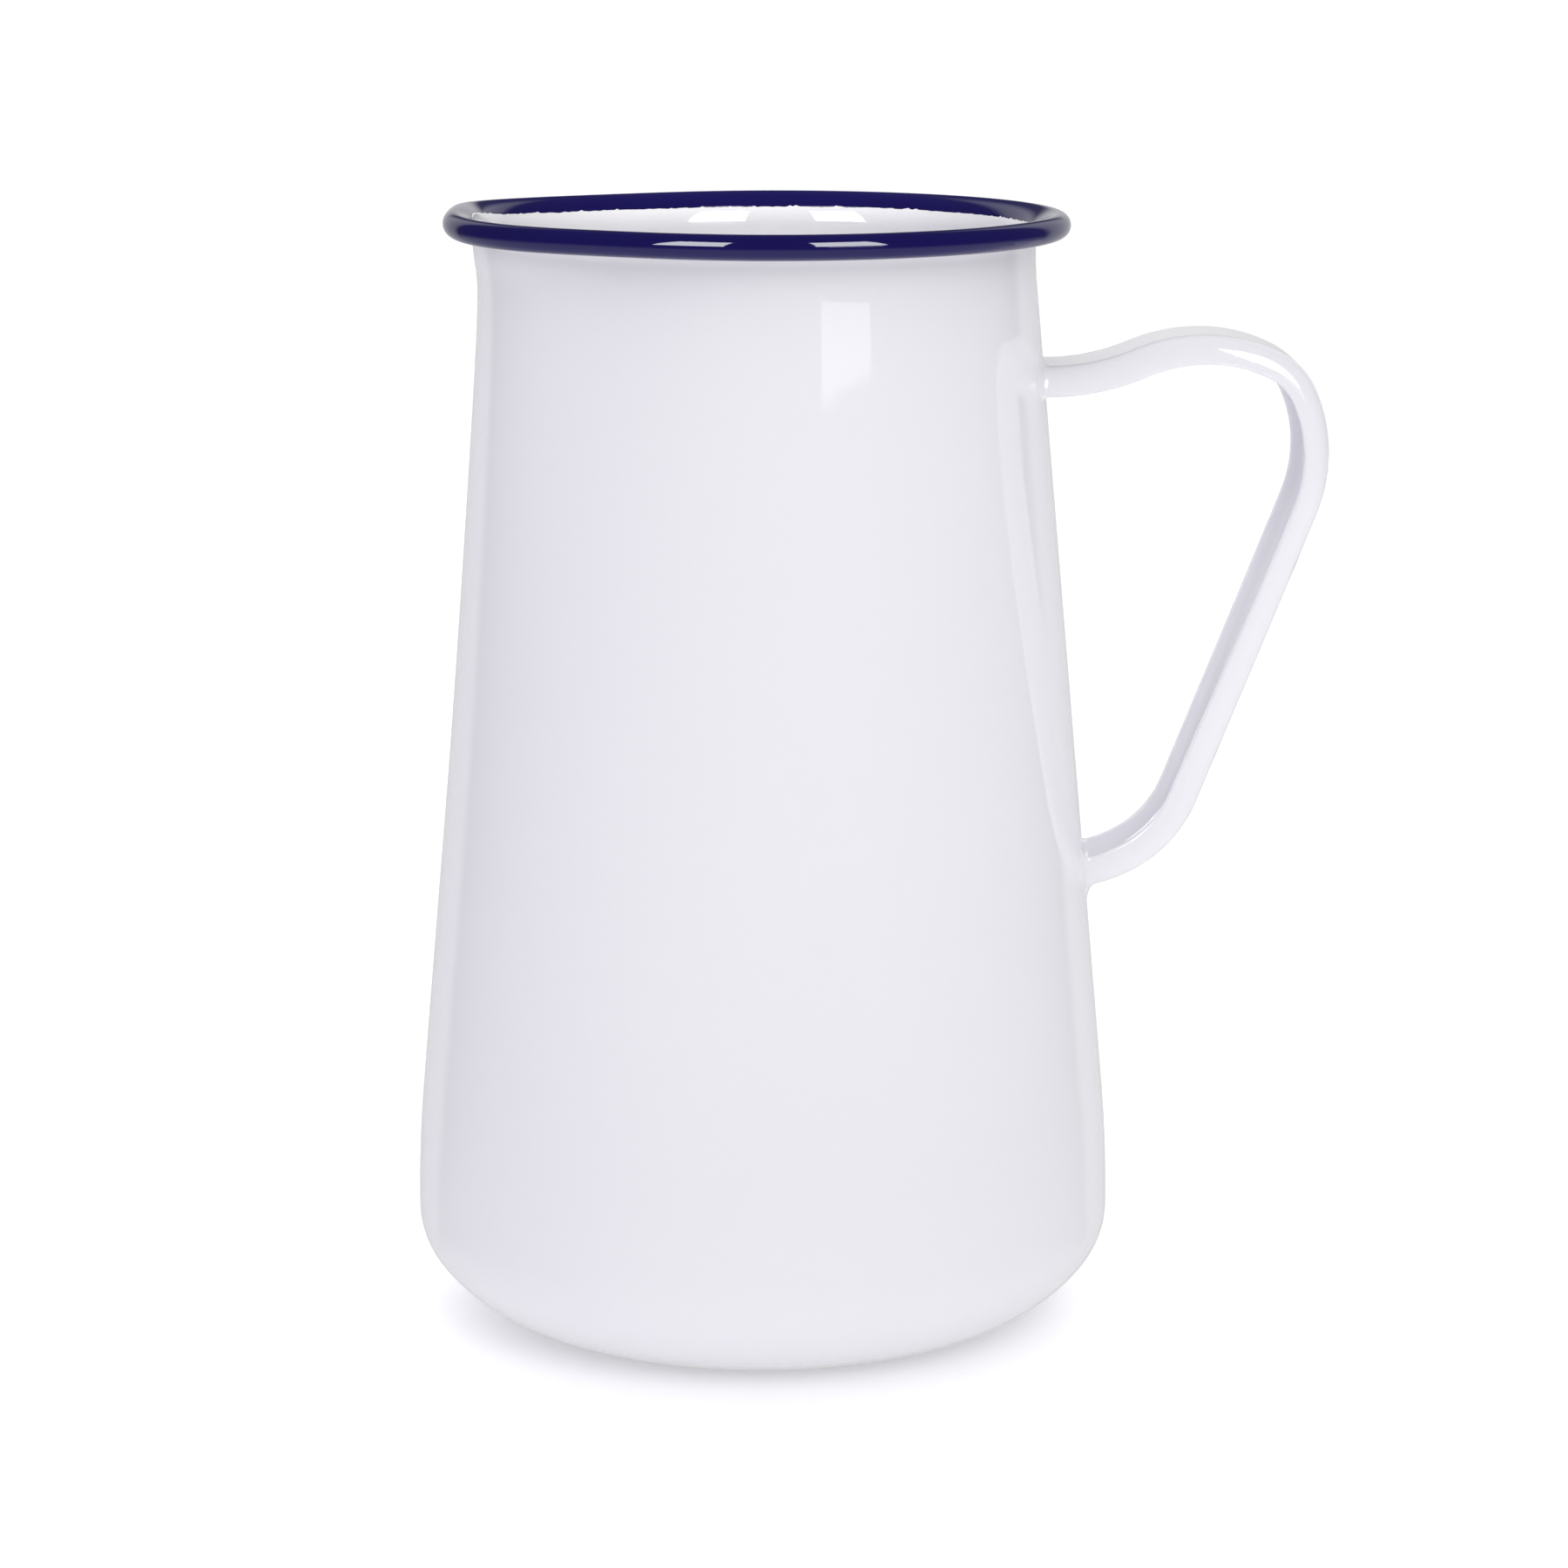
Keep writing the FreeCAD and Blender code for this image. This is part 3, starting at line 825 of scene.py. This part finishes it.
def make_world():
    """Studio round the jug: soft light by direction, and what its gloss shows."""
    world = bpy.data.worlds.new("studio")
    bpy.context.scene.world = world
    world.use_nodes = True
    nodes, links = world.node_tree.nodes, world.node_tree.links
    nodes.clear()
    out = add(nodes, "ShaderNodeOutputWorld")
    place = add(nodes, "ShaderNodeTexCoord")
    axes = add(nodes, "ShaderNodeSeparateXYZ")
    which = add(nodes, "ShaderNodeLightPath")
    mix = add(nodes, "ShaderNodeMixShader")
    links.new(place.outputs["Generated"], axes.inputs[0])
    links.new(which.outputs["Is Glossy Ray"], mix.inputs[0])

    light = lobe_sum(nodes, links, axes, SOFT_LOBES)
    soft = add(nodes, "ShaderNodeBackground", Strength=1.0)
    links.new(light.outputs[0], soft.inputs["Color"])

    aside = add(nodes, "ShaderNodeMath", operation="ABSOLUTE")
    links.new(axes.outputs["X"], aside.inputs[0])
    behind = faded(nodes, links, axes.outputs["Y"], PANEL_OUTER)
    sideways = faded(nodes, links, aside.outputs[0], PANEL_INNER)
    low = faded(nodes, links, axes.outputs["Z"], LOW_BAND)
    floor = faded(nodes, links, axes.outputs["Z"], GLOSS_FLOOR)
    either = joined(nodes, links, "MAXIMUM", sideways, low)
    panels = joined(nodes, links, "MULTIPLY", behind, either)
    bright = joined(nodes, links, "MAXIMUM", panels, floor)
    level = add(nodes, "ShaderNodeMapRange")
    level.inputs["To Min"].default_value = GLOSS_DARK
    level.inputs["To Max"].default_value = GLOSS_PANEL
    gloss = add(nodes, "ShaderNodeBackground", Strength=1.0)
    links.new(bright, level.inputs["Value"])
    links.new(level.outputs["Result"], gloss.inputs["Color"])

    links.new(soft.outputs[0], mix.inputs[1])
    links.new(gloss.outputs[0], mix.inputs[2])
    links.new(mix.outputs[0], out.inputs["Surface"])


def make_floor():
    side = FLOOR_SIDE
    mesh = bpy.data.meshes.new("floor")
    points = [(-side, -side, 0), (side, -side, 0), (side, side, 0), (-side, side, 0)]
    mesh.from_pydata(points, [], [(0, 1, 2, 3)])
    floor = bpy.data.objects.new("floor", mesh)
    bpy.context.scene.collection.objects.link(floor)
    material, _, _, shader = new_material("floor_paper")
    shader.inputs["Base Color"].default_value = (*FLOOR_COLOUR, 1)
    shader.inputs["Roughness"].default_value = FLOOR_ROUGHNESS
    shader.inputs["Emission Color"].default_value = (*LIGHT_COLOUR, 1)
    shader.inputs["Emission Strength"].default_value = FLOOR_GLOW
    dress(floor, material)
    floor.visible_glossy = False


def make_studio():
    make_world()
    make_floor()
    for name, (azimuth, foot, top, width, radiance) in GLOSS_BOXES.items():
        height = (foot + top) / 2
        size = (width, top - foot)
        energy = radiance * math.pi * size[0] * size[1]
        place, target = on_compass(azimuth, 1.0, height), (0.0, 0.0, height)
        lamp = area_light(name, place, target, size, energy)
        lamp.visible_diffuse = False
    lamps = [mouth_light()]
    for name, target, lamp in (("key", JUG_MIDDLE, KEY), ("back", JUG_RIM, BACK)):
        place, side, energy = lamp
        lamps.append(area_light(name, on_compass(*place), target, (side, side), energy))
    for lamp in lamps:
        lamp.visible_glossy = False


def make_camera():
    data = bpy.data.cameras.new("camera")
    data.lens = CAMERA_LENS
    data.sensor_width = CAMERA_SENSOR
    camera = bpy.data.objects.new("camera", data)
    camera.location = CAMERA_AT
    camera.rotation_euler = (CAMERA_PITCH, 0, 0)
    bpy.context.scene.collection.objects.link(camera)
    bpy.context.scene.camera = camera


# ---------------------------------------------------------------- build
white = enamel("white_vitreous_enamel", WHITE, WHITE_SHADE)
navy = enamel("navy_vitreous_enamel", NAVY, NAVY_SHADE)
# the inside coat gets its own lighter copy of the white enamel, as painted light inside
# the mouth
inside = enamel("white_enamel_inside_painted_light", WHITE_INSIDE_PAINTED_LIGHT, WHITE_INSIDE_PAINTED_LIGHT)
steel = rolled_steel()

pieces = (
    (make_outer_coat(), white, "white_enamel", ("wall_outer_enamel", "pan_outer_enamel")),
    (make_inner_coat(), inside, "white_enamel", ("wall_inner_enamel", "pan_inner_enamel")),
    (make_handle_coat(), white, "white_enamel", ("handle_enamel",)),
    (make_rim_coat(), navy, "rim_enamel", ("rim_enamel",)),
)
for piece, material, slot, replaced in pieces:
    dress(piece, material)
    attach(piece, "root")
    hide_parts(*replaced)
for node in ("wall", "base_pan", "handle_strap"):
    dress(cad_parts[node], steel)

make_studio()
make_camera()
bpy.context.scene.view_settings.view_transform = "Standard"
